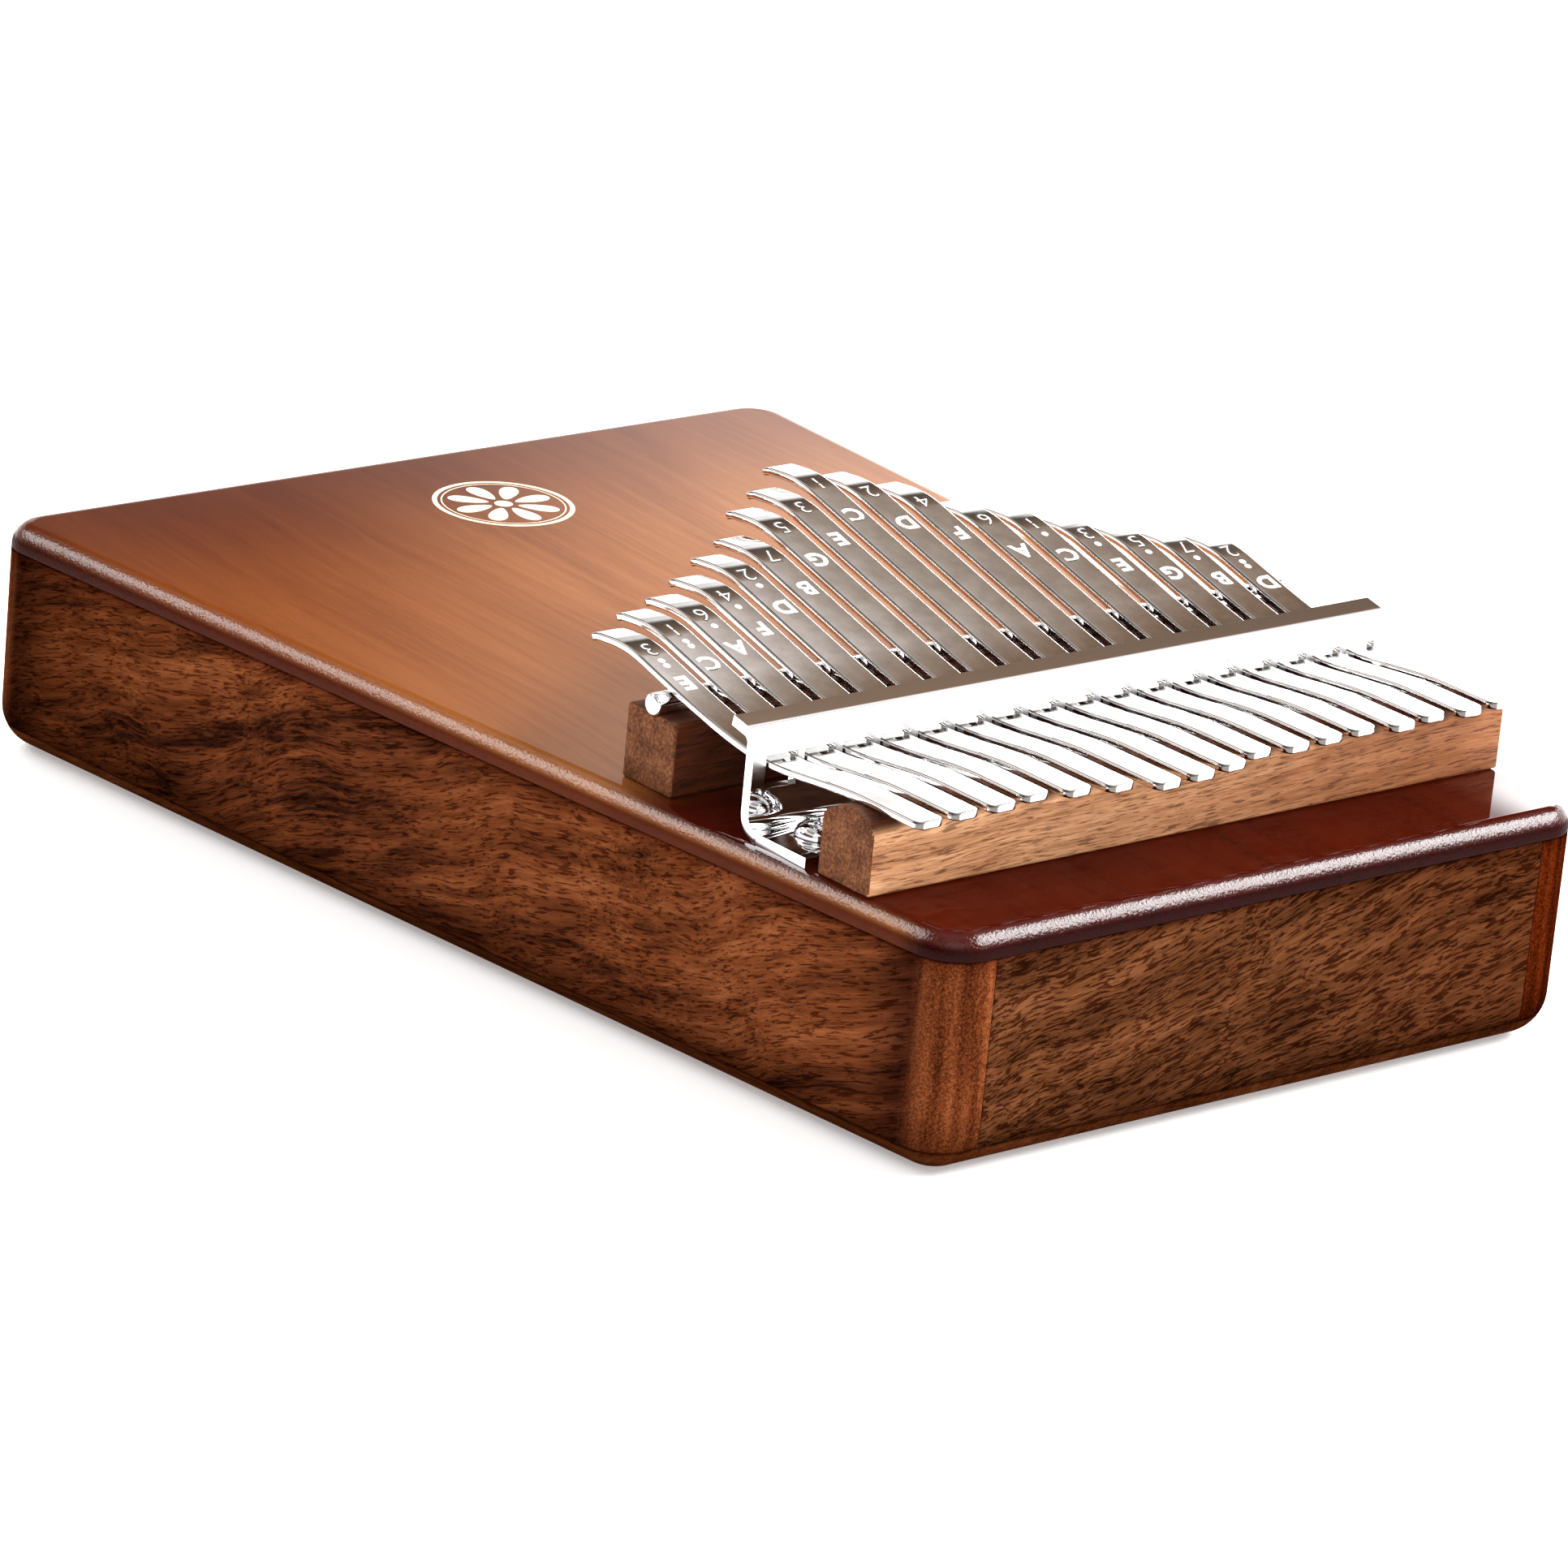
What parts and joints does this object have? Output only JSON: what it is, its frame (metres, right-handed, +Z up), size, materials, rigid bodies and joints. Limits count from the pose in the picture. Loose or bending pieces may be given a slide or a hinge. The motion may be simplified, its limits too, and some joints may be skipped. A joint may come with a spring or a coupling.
{
  "type": "mbira",
  "caption": "Tapered hollow wooden thumb piano with spring-steel tines clamped between two bridge bars by a slotted chromed bracket.",
  "frame": {"origin": "centre of the box's footprint, on its flat back face", "axes": "+Y along the tines from the bridge end to the wide free end, +X across from the first tine to the last, +Z up out of the soundboard"},
  "size_m": [0.1354, 0.185, 0.0554],
  "materials": {
    "soundboard_wood": "warm brown hardwood with fine grain under clear gloss lacquer",
    "side_wood": "dark red-brown figured hardwood with dark streaks under gloss lacquer",
    "end_wood": "olive-brown streaked hardwood under gloss lacquer",
    "bar_wood": "raw open-grained hardwood, unlacquered",
    "chrome": "bright polished chrome plate",
    "tine_steel": "polished spring steel with bright bevelled edges",
    "label_engraving": "pale engraved note labels",
    "emblem_print": "cream printed emblem"
  },
  "bodies": {
    "box": {"soundboard": "soundboard_wood", "back_plate": "side_wood", "left_side_wall": "side_wood", "right_side_wall": "side_wood", "near_end_panel": "end_wood", "far_end_panel": "end_wood", "bridge_brace": "bar_wood", "near_bridge_bar": "bar_wood", "far_bridge_bar": "bar_wood", "saddle_rod": "chrome", "tine_bracket": "chrome", "bracket_screw_left": "chrome", "bracket_screw_centre": "chrome", "bracket_screw_right": "chrome"},
    "tine_01": {"tine_01": "tine_steel"},
    "tine_02": {"tine_02": "tine_steel"},
    "tine_03": {"tine_03": "tine_steel"},
    "tine_04": {"tine_04": "tine_steel"},
    "tine_05": {"tine_05": "tine_steel"},
    "tine_06": {"tine_06": "tine_steel"},
    "tine_07": {"tine_07": "tine_steel"},
    "tine_08": {"tine_08": "tine_steel"},
    "tine_09": {"tine_09": "tine_steel"},
    "tine_10": {"tine_10": "tine_steel"},
    "tine_11": {"tine_11": "tine_steel"},
    "tine_12": {"tine_12": "tine_steel"},
    "tine_13": {"tine_13": "tine_steel"},
    "tine_14": {"tine_14": "tine_steel"},
    "tine_15": {"tine_15": "tine_steel"},
    "tine_16": {"tine_16": "tine_steel"},
    "tine_17": {"tine_17": "tine_steel"}
  },
  "joints": [
    {"name": "tine_01_pluck", "type": "hinge", "parent": "box", "child": "tine_01", "pos_m": [-0.0496, -0.0329, 0.04455], "axis": [1, 0, 0], "range_deg": [-1.5, 0.5], "stiffness_Nm_per_rad": 0.4},
    {"name": "tine_02_pluck", "type": "hinge", "parent": "box", "child": "tine_02", "pos_m": [-0.0434, -0.0329, 0.04455], "axis": [1, 0, 0], "range_deg": [-1.5, 0.5], "stiffness_Nm_per_rad": 0.4},
    {"name": "tine_03_pluck", "type": "hinge", "parent": "box", "child": "tine_03", "pos_m": [-0.0372, -0.0329, 0.04455], "axis": [1, 0, 0], "range_deg": [-1.5, 0.5], "stiffness_Nm_per_rad": 0.4},
    {"name": "tine_04_pluck", "type": "hinge", "parent": "box", "child": "tine_04", "pos_m": [-0.031, -0.0329, 0.04455], "axis": [1, 0, 0], "range_deg": [-1.5, 0.5], "stiffness_Nm_per_rad": 0.4},
    {"name": "tine_05_pluck", "type": "hinge", "parent": "box", "child": "tine_05", "pos_m": [-0.0248, -0.0329, 0.04455], "axis": [1, 0, 0], "range_deg": [-1.5, 0.5], "stiffness_Nm_per_rad": 0.4},
    {"name": "tine_06_pluck", "type": "hinge", "parent": "box", "child": "tine_06", "pos_m": [-0.0186, -0.0329, 0.04455], "axis": [1, 0, 0], "range_deg": [-1.5, 0.5], "stiffness_Nm_per_rad": 0.4},
    {"name": "tine_07_pluck", "type": "hinge", "parent": "box", "child": "tine_07", "pos_m": [-0.0124, -0.0329, 0.04455], "axis": [1, 0, 0], "range_deg": [-1.5, 0.5], "stiffness_Nm_per_rad": 0.4},
    {"name": "tine_08_pluck", "type": "hinge", "parent": "box", "child": "tine_08", "pos_m": [-0.0062, -0.0329, 0.04455], "axis": [1, 0, 0], "range_deg": [-1.5, 0.5], "stiffness_Nm_per_rad": 0.4},
    {"name": "tine_09_pluck", "type": "hinge", "parent": "box", "child": "tine_09", "pos_m": [0, -0.0329, 0.04455], "axis": [1, 0, 0], "range_deg": [-1.5, 0.5], "stiffness_Nm_per_rad": 0.4},
    {"name": "tine_10_pluck", "type": "hinge", "parent": "box", "child": "tine_10", "pos_m": [0.0062, -0.0329, 0.04455], "axis": [1, 0, 0], "range_deg": [-1.5, 0.5], "stiffness_Nm_per_rad": 0.4},
    {"name": "tine_11_pluck", "type": "hinge", "parent": "box", "child": "tine_11", "pos_m": [0.0124, -0.0329, 0.04455], "axis": [1, 0, 0], "range_deg": [-1.5, 0.5], "stiffness_Nm_per_rad": 0.4},
    {"name": "tine_12_pluck", "type": "hinge", "parent": "box", "child": "tine_12", "pos_m": [0.0186, -0.0329, 0.04455], "axis": [1, 0, 0], "range_deg": [-1.5, 0.5], "stiffness_Nm_per_rad": 0.4},
    {"name": "tine_13_pluck", "type": "hinge", "parent": "box", "child": "tine_13", "pos_m": [0.0248, -0.0329, 0.04455], "axis": [1, 0, 0], "range_deg": [-1.5, 0.5], "stiffness_Nm_per_rad": 0.4},
    {"name": "tine_14_pluck", "type": "hinge", "parent": "box", "child": "tine_14", "pos_m": [0.031, -0.0329, 0.04455], "axis": [1, 0, 0], "range_deg": [-1.5, 0.5], "stiffness_Nm_per_rad": 0.4},
    {"name": "tine_15_pluck", "type": "hinge", "parent": "box", "child": "tine_15", "pos_m": [0.0372, -0.0329, 0.04455], "axis": [1, 0, 0], "range_deg": [-1.5, 0.5], "stiffness_Nm_per_rad": 0.4},
    {"name": "tine_16_pluck", "type": "hinge", "parent": "box", "child": "tine_16", "pos_m": [0.0434, -0.0329, 0.04455], "axis": [1, 0, 0], "range_deg": [-1.5, 0.5], "stiffness_Nm_per_rad": 0.4},
    {"name": "tine_17_pluck", "type": "hinge", "parent": "box", "child": "tine_17", "pos_m": [0.0496, -0.0329, 0.04455], "axis": [1, 0, 0], "range_deg": [-1.5, 0.5], "stiffness_Nm_per_rad": 0.4}
  ]
}
